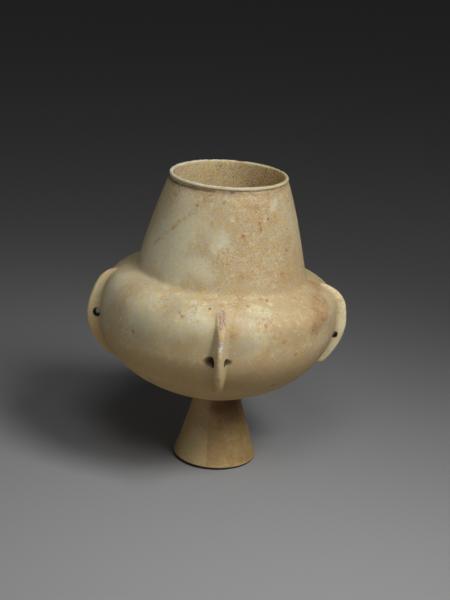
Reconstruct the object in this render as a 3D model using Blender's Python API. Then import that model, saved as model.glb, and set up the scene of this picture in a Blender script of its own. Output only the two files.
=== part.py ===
"""Marble footed vase: a hollow jar carved from one block, with four pierced lugs.

Metres, +Z up. The origin is the middle of the foot's flat underside.
The front lug looks along -Y, and the right lug along +X.
"""
import math

import bmesh
import bpy
from mathutils import Matrix, Vector

# Foot: a solid cone with a flat underside
FOOT_RADIUS = 0.0354
FOOT_EDGE_ROUND = 0.0010
FOOT_HEIGHT = 0.0603
STEM_RADIUS = 0.0177

# Bowl: a deep lower curve and a flatter shoulder, which meet at the widest ring
BOWL_RADIUS = 0.0990
BOWL_DEPTH = 0.0641
BOWL_FULLNESS = 1.80
SHOULDER_HEIGHT = 0.0426
SHOULDER_FULLNESS = 3.88

# Collar: a cone that leans inwards, slightly bowed, up to a beaded lip
COLLAR_BASE_RADIUS = 0.0706
COLLAR_TOP_RADIUS = 0.0473
COLLAR_HEIGHT = 0.0830
COLLAR_BOW = 0.0017
LIP_HEIGHT = 0.0039
LIP_PROUD = 0.0010
LIP_START = -60.0
LIP_SWEEP = 240.0

# Walls of the hollow
LIP_WALL = 0.0038
COLLAR_BASE_WALL = 0.0070
SHOULDER_WALL = 0.0085
BOWL_WALL = 0.0120
FLOOR_WALL = 0.0150
HOLLOW_FULLNESS = 2.0

# Lugs: upright crescents down the bowl, thickest at mid-length and narrow at both ends
LUG_CREST_WIDTH = 0.0044
LUG_ROOT_WIDTH = 0.0125
LUG_FLANK_HOLLOW = 1.05
LUG_FLANK_SHARES = (0.2, 0.5, 0.85)
LUG_FLANK_FOOT = 0.0010
LUG_ROOT_DEPTH = 0.0040
LUG_END_SUNK = 0.0008

# The front lug's top was knocked off: its crest is lower and wider down to the break's
# end. Shares run from 0 at a lug's top to 1 at its foot.
BREAK_LOWER = 0.45
BREAK_FULL = 0.15
BREAK_END = 0.27

# Each lug's own carving. The turn is in degrees from +X. Lengths are measured along
# the bowl from its widest ring: the lug reaches above it and below it, and its hole
# has a rise above it. The crest climbs off the bowl over the first length, stands
# proud, thins to its low stand-off, and drops back over the last length. A blunt
# value of 1 is a straight slope and 2 is a rounded end. The bow swings both ends of
# the lug sideways. Its end widths are those of its top and its foot, and its crest
# widths are at the shares of CREST_SHARES. Mouths, slants and bites come in pairs, one
# for each of the two drills that meet inside it.
CREST_SHARES = (0.0, 0.14, 0.22, 0.30, 0.45, 0.62, 0.85, 1.0)
PLAIN_CREST = (LUG_CREST_WIDTH,) * 8
LUGS = {
    "right": {
        "turn": 0.0, "above": 0.0480, "below": 0.0415, "bow": 0.0,
        "climb": 0.0500, "climb_blunt": 1.50, "proud": 0.0102,
        "drop": 0.0070, "drop_blunt": 1.4, "low": 0.0082,
        "top_width": 0.0055, "foot_width": 0.0055, "crest": PLAIN_CREST, "broken": 0.0,
        "hole_rise": -0.0104, "mouths": (0.0066, 0.0052), "slants": (14.0, 14.0),
        "bites": (0.0010, 0.0010),
    },
    "back": {
        "turn": 91.0, "above": 0.0410, "below": 0.0400, "bow": 0.0008,
        "climb": 0.0400, "climb_blunt": 1.25, "proud": 0.0102,
        "drop": 0.0160, "drop_blunt": 1.5, "low": 0.0086,
        "top_width": 0.0055, "foot_width": 0.0055, "crest": PLAIN_CREST, "broken": 0.0,
        "hole_rise": -0.0050, "mouths": (0.0072, 0.0066), "slants": (14.0, 14.0),
        "bites": (0.0008, 0.0008),
    },
    "left": {
        "turn": 184.0, "above": 0.0414, "below": 0.0405, "bow": 0.0,
        "climb": 0.0350, "climb_blunt": 1.35, "proud": 0.0107,
        "drop": 0.0140, "drop_blunt": 1.7, "low": 0.0074,
        "top_width": 0.0055, "foot_width": 0.0055, "crest": PLAIN_CREST, "broken": 0.0,
        "hole_rise": 0.0060, "mouths": (0.0060, 0.0072), "slants": (14.0, 14.0),
        "bites": (0.0008, 0.0008),
    },
    "front": {
        "turn": 272.0, "above": 0.0430, "below": 0.0410, "bow": -0.0019,
        "climb": 0.0400, "climb_blunt": 1.25, "proud": 0.0103,
        "drop": 0.0220, "drop_blunt": 1.15, "low": 0.0098,
        "top_width": 0.0085, "foot_width": 0.0085, "broken": 1.0,
        "crest": (0.0060, 0.0074, 0.0052, 0.0038, 0.0040, 0.0054, 0.0050, 0.0024),
        "hole_rise": -0.0015, "mouths": (0.0058, 0.0086), "slants": (9.0, 17.0),
        "bites": (0.0008, -0.0008),
    },
}

# Lug holes: drilled from both sides with a blunt drill that grazes the bowl
HOLE_THROAT = 0.0034
HOLE_NOSE = 0.0048
HOLE_NOSE_SHARES = (0.0, 0.3, 0.6, 1.0)
HOLE_OVERLAP = 0.0009
DRILL_LENGTH = 0.0200

# The hand-carved lean at the ground, foot top, widest ring, collar base and lip:
# sideways shift of each level, and its slope along +X
LEAN_SHIFTS = (0.0, -0.00025, -0.00359, -0.00138, 0.0004)
LEAN_SLOPES = (0.0, 0.0199, 0.0289, -0.0575, -0.0139)

# Mesh fineness: facets round the vase, rows of facets up each part of it
SEGMENTS = 56
FOOT_ROWS = 4
BOWL_ROWS = 11
SHOULDER_ROWS = 9
COLLAR_ROWS = 6
LIP_ROWS = 7
BORE_ROWS = 4
ROOF_ROWS = 4
FLOOR_ROWS = 7
LUG_STATIONS = 16
HOLE_SEGMENTS = 12
SURFACE_STEPS = 60
SHARP_ANGLE = 40.0
TINY = 1e-6

# Heights that follow from the sizes above
RING_HEIGHT = FOOT_HEIGHT + BOWL_DEPTH
COLLAR_BASE = RING_HEIGHT + SHOULDER_HEIGHT
TOP = COLLAR_BASE + COLLAR_HEIGHT
LEVELS = (0.0, FOOT_HEIGHT, RING_HEIGHT, COLLAR_BASE, TOP)

STONE_COLOUR = (0.52, 0.44, 0.30, 1.0)
STONE_ROUGHNESS = 0.62


def eased(share):
    """A share held between 0 and 1, with a smooth start and end."""
    t = min(max(share, 0.0), 1.0)
    return t * t * (3.0 - 2.0 * t)


def glide(height, values):
    """The value at a height, eased between the values given at LEVELS."""
    result = values[0]
    for low, high, start, end in zip(LEVELS, LEVELS[1:], values, values[1:]):
        result += (end - start) * eased((height - low) / (high - low))
    return result


def lean(point):
    """Move a point of the true turned form to its place on the leaning vase."""
    shift = glide(point.z, LEAN_SHIFTS)
    rise = glide(point.z, LEAN_SLOPES) * point.x
    return Vector((point.x + shift, point.y, point.z + rise))


def curve_end(edge, radius, fullness):
    """The angle at which a bowl curve of this fullness has drawn in to edge."""
    return math.acos((edge / radius) ** (fullness / 2.0))


def curve_point(angle, radius, fullness):
    """Radius of a bowl curve at an angle, and its height as a share of its full height."""
    across = radius * max(math.cos(angle), 0.0) ** (2.0 / fullness)
    along = math.sin(angle) ** (2.0 / fullness)
    return across, along


def bowl_below(rows):
    """Points (radius, height) of the outer bowl, from the foot up to the widest ring."""
    end = curve_end(STEM_RADIUS, BOWL_RADIUS, BOWL_FULLNESS)
    reach = curve_point(end, BOWL_RADIUS, BOWL_FULLNESS)[1]
    points = []
    for row in range(rows + 1):
        across, along = curve_point(end * (1.0 - row / rows), BOWL_RADIUS, BOWL_FULLNESS)
        points.append((across, RING_HEIGHT - BOWL_DEPTH * along / reach))
    return points


def shoulder_reach():
    """The shoulder curve's angle at the collar, and its share of height there."""
    end = curve_end(COLLAR_BASE_RADIUS, BOWL_RADIUS, SHOULDER_FULLNESS)
    return end, curve_point(end, BOWL_RADIUS, SHOULDER_FULLNESS)[1]


def shoulder(rows):
    """Points of the outer shoulder, from the widest ring up to the collar."""
    end, reach = shoulder_reach()
    points = []
    for row in range(rows + 1):
        across, along = curve_point(end * row / rows, BOWL_RADIUS, SHOULDER_FULLNESS)
        points.append((across, RING_HEIGHT + SHOULDER_HEIGHT * along / reach))
    return points


def collar_radius(height):
    """Outer radius of the collar at a height, without its lip."""
    t = (height - COLLAR_BASE) / COLLAR_HEIGHT
    straight = COLLAR_BASE_RADIUS + (COLLAR_TOP_RADIUS - COLLAR_BASE_RADIUS) * t
    return straight + 4.0 * COLLAR_BOW * t * (1.0 - t)


def lip_points(rows):
    """The beaded lip, from its underside over the top to the inner wall."""
    half = LIP_HEIGHT / 2.0
    middle = TOP - half
    outermost = collar_radius(middle) + LIP_PROUD
    centre = outermost - LIP_WALL / 2.0
    points = []
    for row in range(rows + 1):
        angle = math.radians(LIP_START + LIP_SWEEP * row / rows)
        across = centre + LIP_WALL / 2.0 * math.cos(angle)
        points.append((across, middle + half * math.sin(angle)))
    return points


def bore_radius(height):
    """Inner radius of the collar, on a straight taper that thickens downwards."""
    half = LIP_HEIGHT / 2.0
    inner_top = collar_radius(TOP - half) + LIP_PROUD - LIP_WALL
    inner_base = COLLAR_BASE_RADIUS - COLLAR_BASE_WALL
    t = (TOP - half - height) / (COLLAR_HEIGHT - half)
    return inner_top + (inner_base - inner_top) * t


def hollow_roof(angle):
    """A point of the hollow's roof, under the shoulder."""
    full_height = SHOULDER_HEIGHT / shoulder_reach()[1] - SHOULDER_WALL
    across, along = curve_point(angle, BOWL_RADIUS - BOWL_WALL, SHOULDER_FULLNESS)
    return across, RING_HEIGHT + full_height * along


def roof_end():
    """The angle at which the hollow's roof meets the collar's bore."""
    low, high = 0.0, math.pi / 2.0
    while high - low > TINY:
        middle = (low + high) / 2.0
        across, height = hollow_roof(middle)
        if across > bore_radius(height):
            low = middle
        else:
            high = middle
    return low


def hollow_points(roof_rows, floor_rows, bore_rows):
    """Points of the hollow, from just below the lip down to the middle of its floor."""
    end = roof_end()
    bore_foot = hollow_roof(end)[1]
    bore_head = TOP - LIP_HEIGHT / 2.0
    points = []
    for row in range(1, bore_rows):
        height = bore_head + (bore_foot - bore_head) * row / bore_rows
        points.append((bore_radius(height), height))
    for row in range(roof_rows):
        points.append(hollow_roof(end * (1.0 - row / roof_rows)))
    floor_depth = BOWL_DEPTH - FLOOR_WALL
    for row in range(floor_rows + 1):
        angle = math.pi / 2.0 * row / floor_rows
        across, along = curve_point(angle, BOWL_RADIUS - BOWL_WALL, HOLLOW_FULLNESS)
        points.append((across, RING_HEIGHT - floor_depth * along))
    points[-1] = (0.0, points[-1][1])
    return points


def foot_points(rows):
    """The foot, from the middle of its underside up to just below the bowl."""
    points = [(0.0, 0.0), (FOOT_RADIUS - FOOT_EDGE_ROUND, 0.0)]
    slope = (FOOT_RADIUS - STEM_RADIUS) / FOOT_HEIGHT
    for row in range(rows):
        height = FOOT_EDGE_ROUND + (FOOT_HEIGHT - FOOT_EDGE_ROUND) * row / rows
        points.append((FOOT_RADIUS - slope * height, height))
    return points


def collar_points(rows):
    """The collar's outside, from above the shoulder up to the lip's underside."""
    head = lip_points(1)[0][1]
    points = []
    for row in range(1, rows + 1):
        height = COLLAR_BASE + (head - COLLAR_BASE) * row / rows
        points.append((collar_radius(height), height))
    return points


def vase_profile():
    """The whole section of the vase, from the underside round to the hollow's floor."""
    points = foot_points(FOOT_ROWS)
    points += bowl_below(BOWL_ROWS)
    points += shoulder(SHOULDER_ROWS)[1:]
    points += collar_points(COLLAR_ROWS)
    points += lip_points(LIP_ROWS)
    points += hollow_points(ROOF_ROWS, FLOOR_ROWS, BORE_ROWS)
    return points


def turned(points, segments):
    """A bmesh with the section turned once round the Z axis, closed and facing out."""
    mesh = bmesh.new()
    verts = [mesh.verts.new((across, 0.0, height)) for across, height in points]
    edges = [mesh.edges.new(pair) for pair in zip(verts, verts[1:])]
    bmesh.ops.spin(mesh, geom=verts + edges, cent=(0.0, 0.0, 0.0), axis=(0.0, 0.0, 1.0),
                   angle=2.0 * math.pi, steps=segments, use_merge=True)
    bmesh.ops.remove_doubles(mesh, verts=mesh.verts[:], dist=TINY)
    bmesh.ops.recalc_face_normals(mesh, faces=mesh.faces[:])
    return mesh


def surface_at(distance):
    """Radius, height and outward slope of the bowl, a distance along it above the ring."""
    line = bowl_below(SURFACE_STEPS)[:-1] + shoulder(SURFACE_STEPS)
    lengths = [0.0]
    for (r0, z0), (r1, z1) in zip(line, line[1:]):
        lengths.append(lengths[-1] + math.hypot(r1 - r0, z1 - z0))
    wanted = min(max(lengths[SURFACE_STEPS] + distance, TINY), lengths[-1] - TINY)
    step = 1
    while lengths[step] < wanted:
        step += 1
    (r0, z0), (r1, z1) = line[step - 1], line[step]
    run = lengths[step] - lengths[step - 1]
    t = (wanted - lengths[step - 1]) / run
    outward = Vector(((z1 - z0) / run, 0.0, (r0 - r1) / run))
    return Vector((r0 + (r1 - r0) * t, 0.0, z0 + (z1 - z0) * t)), outward


def slope_share(share, blunt):
    """How far a slope has risen, from 0 to 1: straight, or rounded where blunt is 2."""
    left = 1.0 - min(max(share, 0.0), 1.0)
    return (1.0 - left ** blunt) ** (1.0 / blunt)


def lug_proud(lug, distance):
    """How far a lug's crest stands off the bowl, a distance above the widest ring."""
    from_top = lug["above"] - distance
    from_bottom = distance + lug["below"]
    thinning = lug["above"] + lug["below"] - lug["climb"] - lug["drop"]
    low = min(max((from_top - lug["climb"]) / max(thinning, TINY), 0.0), 1.0)
    stand = lug["proud"] + (lug["low"] - lug["proud"]) * low
    climb = slope_share(from_top / lug["climb"], lug["climb_blunt"])
    drop = slope_share(from_bottom / lug["drop"], lug["drop_blunt"])
    return (stand + LUG_END_SUNK) * climb * drop - LUG_END_SUNK


def crest_width(lug, share):
    """Width of a lug's crest at a share of its length from the top."""
    step = 1
    while CREST_SHARES[step] < share:
        step += 1
    low, high = CREST_SHARES[step - 1], CREST_SHARES[step]
    start, end = lug["crest"][step - 1], lug["crest"][step]
    return start + (end - start) * (share - low) / (high - low)


def lug_section(proud, root_width, width_at_crest):
    """Half of a lug's cross-section: (half width, height off the bowl) from the root up."""
    root = root_width / 2.0
    crest = width_at_crest / 2.0
    half = [(root, -LUG_ROOT_DEPTH), (root, -LUG_FLANK_FOOT)]
    for share in LUG_FLANK_SHARES:
        width = crest + (root - crest) * (1.0 - share) ** LUG_FLANK_HOLLOW
        half.append((width, (proud + LUG_FLANK_FOOT) * share - LUG_FLANK_FOOT))
    half.append((crest / 2.0, proud))
    return half


def lug_mesh(lug):
    """A closed crescent down the side of the bowl, rooted in its wall."""
    mesh = bmesh.new()
    spin = Matrix.Rotation(math.radians(lug["turn"]), 3, "Z")
    length = lug["above"] + lug["below"]
    rings = []
    for station in range(LUG_STATIONS + 1):
        share = 0.5 - 0.5 * math.cos(math.pi * station / LUG_STATIONS)
        distance = lug["above"] - length * share
        place, outward = surface_at(distance)
        sideways = lug["bow"] * (2.0 * share - 1.0) ** 2
        end = lug["foot_width"] if share > 0.5 else lug["top_width"]
        root = end + (LUG_ROOT_WIDTH - end) * math.sin(math.pi * share)
        broken = lug["broken"] * eased((BREAK_END - share) / (BREAK_END - BREAK_FULL))
        proud = lug_proud(lug, distance) * (1.0 - BREAK_LOWER * broken)
        half = lug_section(proud, root, crest_width(lug, share))
        section = half + [(-width, height) for width, height in reversed(half)]
        verts = []
        for width, height in section:
            point = place + outward * height + Vector((0.0, width + sideways, 0.0))
            verts.append(mesh.verts.new(lean(spin @ point)))
        ring = [mesh.edges.new(pair) for pair in zip(verts, verts[1:] + verts[:1])]
        rings.append(ring)
    for above, below in zip(rings, rings[1:]):
        bmesh.ops.bridge_loops(mesh, edges=above + below)
    for end in (rings[0], rings[-1]):
        bmesh.ops.edgeloop_fill(mesh, edges=end)
    bmesh.ops.recalc_face_normals(mesh, faces=mesh.faces[:])
    return mesh


def drill_mesh(lug, side):
    """A blunt drill that enters a lug from one side (0 or 1) and stops past its middle."""
    throat = HOLE_THROAT / 2.0
    mouth = lug["mouths"][side] / 2.0
    points = [(0.0, -HOLE_OVERLAP), (throat, -HOLE_OVERLAP)]
    for share in HOLE_NOSE_SHARES:
        growth = math.sin(math.pi / 2.0 * share)
        points.append((throat + (mouth - throat) * growth, HOLE_NOSE * share))
    points += [(mouth, DRILL_LENGTH), (0.0, DRILL_LENGTH)]
    mesh = turned(points, HOLE_SEGMENTS)
    place, outward = surface_at(lug["hole_rise"])
    slant = math.radians(lug["slants"][side])
    across = Vector((0.0, 1.0 - 2.0 * side, 0.0))
    aim = across * math.cos(slant) + outward * math.sin(slant)
    spin = Matrix.Rotation(math.radians(lug["turn"]), 4, "Z")
    stand = aim.to_track_quat("Z", "Y").to_matrix().to_4x4()
    quarter_facet = Matrix.Rotation(math.pi / 2.0 / HOLE_SEGMENTS, 4, "Z")
    nose = place + outward * lug["bites"][side]
    move = spin @ Matrix.Translation(nose) @ stand @ quarter_facet
    bmesh.ops.transform(mesh, matrix=move, verts=mesh.verts[:])
    for vert in mesh.verts:
        vert.co = lean(vert.co)
    return mesh


def stone():
    """Pale buff marble."""
    material = bpy.data.materials.new("marble")
    material.use_nodes = True
    shader = material.node_tree.nodes["Principled BSDF"]
    shader.inputs["Base Color"].default_value = STONE_COLOUR
    shader.inputs["Roughness"].default_value = STONE_ROUGHNESS
    shader.inputs["Metallic"].default_value = 0.0
    material.diffuse_color = STONE_COLOUR
    return material


def add_object(name, mesh):
    """A new object from a finished bmesh, in triangles so that every face is flat."""
    bmesh.ops.triangulate(mesh, faces=mesh.faces[:])
    data = bpy.data.meshes.new(name)
    mesh.to_mesh(data)
    mesh.free()
    thing = bpy.data.objects.new(name, data)
    bpy.context.scene.collection.objects.link(thing)
    return thing


def combine(vase, name, operation, shapes):
    """Join shapes to the vase, or cut them away, and keep them as hidden guides."""
    guides = bpy.data.collections.new(name)
    bpy.context.scene.collection.children.link(guides)
    for guide in shapes:
        bpy.context.scene.collection.objects.unlink(guide)
        guides.objects.link(guide)
        guide.hide_render = True
        guide.display_type = "WIRE"
        guide.parent = vase
    modifier = vase.modifiers.new(name, "BOOLEAN")
    modifier.operation = operation
    modifier.solver = "EXACT"
    modifier.operand_type = "COLLECTION"
    modifier.collection = guides


def build():
    for thing in list(bpy.data.objects):
        bpy.data.objects.remove(thing, do_unlink=True)
    body = turned(vase_profile(), SEGMENTS)
    for vert in body.verts:
        vert.co = lean(vert.co)
    vase = add_object("vase", body)
    vase.data.materials.append(stone())
    vase.data.shade_smooth()
    vase.data.set_sharp_from_angle(angle=math.radians(SHARP_ANGLE))
    lugs = []
    drills = []
    for name, lug in LUGS.items():
        lugs.append(add_object("lug_" + name, lug_mesh(lug)))
        drills.append(add_object("drill_into_" + name, drill_mesh(lug, 0)))
        drills.append(add_object("drill_out_of_" + name, drill_mesh(lug, 1)))
    combine(vase, "lugs", "UNION", lugs)
    combine(vase, "drills", "DIFFERENCE", drills)


build()
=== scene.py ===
# %% [markdown]
# # A marble footed vase
#
# The real vase was ground and drilled out of one block of marble: a cone of a foot, a
# wide bowl, a shoulder, a tall collar with a beaded lip, and four upright lugs, each
# with a hole from side to side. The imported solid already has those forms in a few
# thousand flat facets, and it fixes every size. So the first step loads it and keeps
# its box, and the rest of this file makes a finer stone that fits the same box.

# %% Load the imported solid
import math

import bmesh
import bpy
import numpy as np
from mathutils import Matrix, Quaternion, Vector, noise


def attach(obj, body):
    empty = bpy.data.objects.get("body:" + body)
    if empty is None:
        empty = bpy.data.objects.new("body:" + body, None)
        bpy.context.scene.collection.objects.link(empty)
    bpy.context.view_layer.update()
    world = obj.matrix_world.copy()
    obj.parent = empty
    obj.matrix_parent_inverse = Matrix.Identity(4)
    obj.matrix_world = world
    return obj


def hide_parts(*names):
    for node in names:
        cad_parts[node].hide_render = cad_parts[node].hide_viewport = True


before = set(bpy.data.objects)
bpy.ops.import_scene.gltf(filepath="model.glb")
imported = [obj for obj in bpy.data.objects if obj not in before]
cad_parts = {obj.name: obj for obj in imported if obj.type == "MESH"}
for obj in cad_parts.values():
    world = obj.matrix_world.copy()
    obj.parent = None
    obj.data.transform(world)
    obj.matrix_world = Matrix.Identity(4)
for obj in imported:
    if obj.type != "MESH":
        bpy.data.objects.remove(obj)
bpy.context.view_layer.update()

# %% [markdown]
# ## The camera
#
# The photograph looks down on the vase from a little over a metre away, and the vase
# leans a little in it. A vase that stands on a flat foot does not lean, so the camera
# is the thing that is turned. The place, aim, turn and focal length below were worked
# out from the vase's outline.

# %% Place the camera
EYE = Vector((0.0, -1.083639, 0.510002))
AIM = Vector((0.00235, 0.0, 0.14041))
CAMERA_TURN = 3.004
FOCAL_PIXELS = 1363.526
PICTURE_HEIGHT = 600
SENSOR = 36.0

camera = bpy.data.objects.new("camera", bpy.data.cameras.new("camera"))
bpy.context.scene.collection.objects.link(camera)
camera.data.sensor_width = SENSOR
camera.data.lens = FOCAL_PIXELS * SENSOR / PICTURE_HEIGHT
camera.location = EYE
camera.rotation_mode = "QUATERNION"
level = (AIM - EYE).to_track_quat("-Z", "Y")
camera.rotation_quaternion = level @ Quaternion((0, 0, 1), math.radians(CAMERA_TURN))
bpy.context.scene.camera = camera
print("Lens:", round(camera.data.lens, 1), "mm")

# %% [markdown]
# ## The turned outline
#
# A stone carver who grinds a vase round an axis works from its section. The bowl's
# section is two curves of the kind that a rounded square has, a deep one below the
# widest ring and a flatter one above it. Writing them as formulas keeps the outline
# smooth however finely it is cut up.

# %% The carver's sizes, in metres
FOOT_RADIUS = 0.0354
FOOT_HEIGHT = 0.0603
STEM_RADIUS = 0.0177
BOWL_RADIUS = 0.0990
BOWL_DEPTH = 0.0641
BOWL_FULLNESS = 1.80
SHOULDER_HEIGHT = 0.0426
SHOULDER_FULLNESS = 3.88
COLLAR_BASE_RADIUS = 0.0706
COLLAR_TOP_RADIUS = 0.0473
COLLAR_HEIGHT = 0.0830
COLLAR_BOW = 0.0017
LIP_HEIGHT = 0.0039
LIP_PROUD = 0.0010
LIP_WALL = 0.0038
COLLAR_BASE_WALL = 0.0070
BOWL_WALL = 0.0120
SHOULDER_WALL = 0.0085
FLOOR_WALL = 0.0150

RING_HEIGHT = FOOT_HEIGHT + BOWL_DEPTH
COLLAR_BASE = RING_HEIGHT + SHOULDER_HEIGHT
TOP = COLLAR_BASE + COLLAR_HEIGHT
print("Widest ring at", round(RING_HEIGHT, 4), "and lip at", round(TOP, 4))


# %% The bowl's outer curve
FINE = 400


def round_curve(angles, fullness):
    """Radius and rise of a rounded-square curve, each as a share of its full size."""
    across = np.clip(np.cos(angles), 0, 1) ** (2 / fullness)
    rise = np.clip(np.sin(angles), 0, 1) ** (2 / fullness)
    return across, rise


def turn_in(edge, radius, fullness):
    """The angle at which a rounded-square curve has drawn in to an edge."""
    return math.acos((edge / radius) ** (fullness / 2))


lower_angles = np.linspace(turn_in(STEM_RADIUS, BOWL_RADIUS, BOWL_FULLNESS), 0, FINE)
upper_end = turn_in(COLLAR_BASE_RADIUS, BOWL_RADIUS, SHOULDER_FULLNESS)
upper_angles = np.linspace(0, upper_end, FINE)
lower_across, lower_rise = round_curve(lower_angles, BOWL_FULLNESS)
upper_across, upper_rise = round_curve(upper_angles, SHOULDER_FULLNESS)
bowl_radii = BOWL_RADIUS * np.concatenate([lower_across, upper_across[1:]])
bowl_heights = RING_HEIGHT + np.concatenate(
    [-BOWL_DEPTH * lower_rise / lower_rise[0],
     SHOULDER_HEIGHT * upper_rise[1:] / upper_rise[-1]])
bowl_steps = np.hypot(np.diff(bowl_radii), np.diff(bowl_heights))
bowl_lengths = np.concatenate([[0], np.cumsum(bowl_steps)])
bowl_lengths -= bowl_lengths[FINE - 1]


def bowl_place(station):
    """Radius and height of the bowl's skin, at a length along it from the widest ring."""
    return (np.interp(station, bowl_lengths, bowl_radii),
            np.interp(station, bowl_lengths, bowl_heights))


print("Bowl runs", bowl_lengths[[0, -1]].round(4), "along its side from the widest ring")


# %% The collar, the lip and the hollow
def collar_radius(height):
    """Outer radius of the collar, a cone with a slight bow."""
    share = (height - COLLAR_BASE) / COLLAR_HEIGHT
    straight = COLLAR_BASE_RADIUS + (COLLAR_TOP_RADIUS - COLLAR_BASE_RADIUS) * share
    return straight + 4 * COLLAR_BOW * share * (1 - share)


LIP_MIDDLE = TOP - LIP_HEIGHT / 2
LIP_OUTSIDE = collar_radius(LIP_MIDDLE) + LIP_PROUD
INNER_TOP = LIP_OUTSIDE - LIP_WALL
INNER_BASE = COLLAR_BASE_RADIUS - COLLAR_BASE_WALL
INNER_BOWL = BOWL_RADIUS - BOWL_WALL


def bore_radius(height):
    """Inner radius of the collar, whose wall thickens downwards."""
    share = (LIP_MIDDLE - height) / (LIP_MIDDLE - COLLAR_BASE)
    return INNER_TOP + (INNER_BASE - INNER_TOP) * share


def spaced(start, stop, step):
    """Values from start to stop, both kept, about one step apart."""
    return np.linspace(start, stop, max(2, round(abs(stop - start) / step) + 1))


print("Mouth is", round(2 * INNER_TOP * 1000, 1), "mm wide inside the lip")

# %% [markdown]
# ## One section, from the underside round to the hollow's floor
#
# The section is drawn as a string of vertices in the X-Z plane. The rows are closest
# where the lugs and the lip will need them. Worn stone has no knife-sharp inner
# corners, so the two corners where the foot meets the bowl and the collar meets the
# shoulder are softened with the smooth operator while the mesh is still only a line.

# %% Draw the foot
UNDERSIDE_RINGS = (0.0, 0.012, 0.024, 0.030)
FOOT_EDGE = 0.0018
EDGE_IN = 0.35
EDGE_UP = 0.30
FOOT_BASE = 0.0040
FOOT_BASE_ROW = 0.0007
FOOT_ROW = 0.0028
FOOT_TAPER = (FOOT_RADIUS - STEM_RADIUS) / FOOT_HEIGHT

section = [(across, 0) for across in (*UNDERSIDE_RINGS, FOOT_RADIUS - FOOT_EDGE)]
section.append((FOOT_RADIUS - EDGE_IN * FOOT_EDGE, EDGE_UP * FOOT_EDGE))
foot_rows = [*spaced(FOOT_EDGE, FOOT_BASE, FOOT_BASE_ROW)[:-1],
             *spaced(FOOT_BASE, FOOT_HEIGHT, FOOT_ROW)[:-1]]
section += [(FOOT_RADIUS - FOOT_TAPER * height, height) for height in foot_rows]
print(len(section), "points on the foot")

# %% Draw the bowl, the collar and the lip
BOWL_ROW = 0.0026
LUG_ROW = 0.00095
LUG_REACH_DOWN = -0.0470
LUG_REACH_UP = 0.0485
SHOULDER_ROW = 0.0008
CORNER_TOP = COLLAR_BASE + 0.008
COLLAR_ROW = 0.0024
LIP_UNDERSIDE = TOP - 0.93 * LIP_HEIGHT
LIP_ARC = (-60, 180)
LIP_ROWS = 14

stations = np.concatenate([
    spaced(bowl_lengths[0], LUG_REACH_DOWN, BOWL_ROW)[:-1],
    spaced(LUG_REACH_DOWN, LUG_REACH_UP, LUG_ROW)[:-1],
    spaced(LUG_REACH_UP, bowl_lengths[-1], SHOULDER_ROW)])
section += [bowl_place(station) for station in stations]
collar_rows = [*spaced(COLLAR_BASE, CORNER_TOP, SHOULDER_ROW)[1:],
               *spaced(CORNER_TOP, LIP_UNDERSIDE, COLLAR_ROW)[1:]]
section += [(collar_radius(height), height) for height in collar_rows]
for angle in np.radians(np.linspace(*LIP_ARC, LIP_ROWS)):
    section.append((LIP_OUTSIDE - LIP_WALL / 2 + LIP_WALL / 2 * math.cos(angle),
                    LIP_MIDDLE + LIP_HEIGHT / 2 * math.sin(angle)))
print(len(section), "points from the underside to the lip")

# %% Draw the hollow
INNER_ROW = 0.0028
ROOF_ROWS = 8
FLOOR_ROWS = 12

roof_height = SHOULDER_HEIGHT / upper_rise[-1] - SHOULDER_WALL
roof_across, roof_rise = round_curve(np.linspace(0, math.pi / 2, FINE), SHOULDER_FULLNESS)
roof_radii = INNER_BOWL * roof_across
roof_heights = RING_HEIGHT + roof_height * roof_rise
meeting = int(np.argmax(roof_radii < bore_radius(roof_heights)))
for height in spaced(LIP_MIDDLE, roof_heights[meeting], INNER_ROW)[1:-1]:
    section.append((bore_radius(height), height))
for row in np.linspace(meeting, 0, ROOF_ROWS).astype(int):
    section.append((roof_radii[row], roof_heights[row]))
floor_depth = BOWL_DEPTH - FLOOR_WALL
for angle in np.linspace(0, math.pi / 2, FLOOR_ROWS)[1:]:
    section.append((INNER_BOWL * math.cos(angle), RING_HEIGHT - floor_depth * math.sin(angle)))
section[-1] = (0, section[-1][1])
print(len(section), "points in the whole section")

# %% Soften its inner corners
# Each corner has its height, how far the softening reaches and how often it is repeated.
COLLAR_CORNER = (COLLAR_BASE, 0.0055, 14)
FOOT_CORNER = (FOOT_HEIGHT, 0.0030, 2)

stone = bmesh.new()
line = [stone.verts.new((across, 0, height)) for across, height in section]
for pair in zip(line, line[1:]):
    stone.edges.new(pair)


def soften(height, reach, passes):
    """Round the corner of the section's outside that lies at a height."""
    corner = [vert for vert in line if abs(vert.co.z - height) < reach
              and vert.co.x > bore_radius(vert.co.z) * (vert.co.z > RING_HEIGHT)]
    for _ in range(passes):
        bmesh.ops.smooth_vert(stone, verts=corner, factor=0.5,
                              use_axis_x=True, use_axis_z=True)
    return len(corner)


print("Softened", soften(*COLLAR_CORNER), "points at the collar and",
      soften(*FOOT_CORNER), "at the foot")

# %% [markdown]
# ## Spin the section, then bunch the columns
#
# Spin turns the line once round the Z axis into a closed skin. Its columns come out
# evenly spaced, but the lugs are narrow and need many columns, and the plain bowl needs
# few. The columns are therefore slid round the axis so that they bunch up at the four
# lugs, which is cheaper than cutting the whole vase finely.

# %% Spin it
COLUMNS = 320
TINY = 1e-6
bmesh.ops.spin(stone, geom=stone.verts[:] + stone.edges[:], cent=(0, 0, 0),
               axis=(0, 0, 1), angle=2 * math.pi, steps=COLUMNS, use_merge=True)
bmesh.ops.remove_doubles(stone, verts=stone.verts[:], dist=TINY)
bmesh.ops.recalc_face_normals(stone, faces=stone.faces[:])
print(len(stone.verts), "vertices, volume", round(stone.calc_volume() * 1e6), "ml")

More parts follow.
